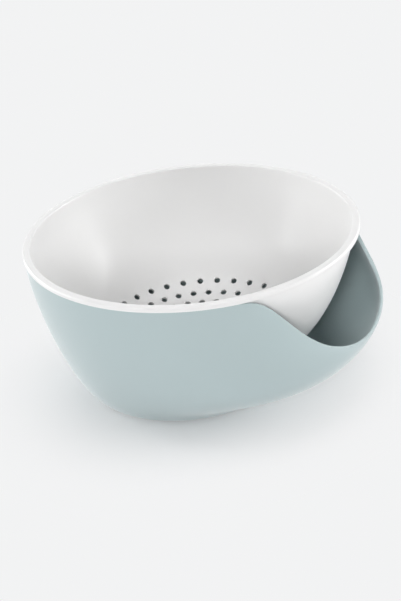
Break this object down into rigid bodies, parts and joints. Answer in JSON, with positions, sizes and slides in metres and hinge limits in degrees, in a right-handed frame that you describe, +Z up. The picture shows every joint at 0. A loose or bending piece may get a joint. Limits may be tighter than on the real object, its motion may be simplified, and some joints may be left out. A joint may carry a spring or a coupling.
{
  "type": "strainer bowl",
  "caption": "Round strainer hanging by its flange in an outer bowl whose side swells out and dips into an open pocket.",
  "frame": {"origin": "centre of the flat foot, on the surface that the bowl stands on", "axes": "+Z up; +X from the foot towards the middle of the pocket, so that XZ is the plane of symmetry; +Y completes the right-handed frame"},
  "size_m": [0.2521, 0.24, 0.1186],
  "materials": {
    "blue_plastic": "smooth satin moulded plastic, pale grey-blue",
    "white_plastic": "smooth soft-gloss moulded plastic, white"
  },
  "bodies": {
    "outer_bowl": {"outer_bowl": "blue_plastic"},
    "strainer": {"strainer": "white_plastic"}
  },
  "joints": [
    {"name": "strainer_lift", "type": "slide", "parent": "outer_bowl", "child": "strainer", "axis": [0, 0, 1], "range_m": [0, 0.11]}
  ]
}
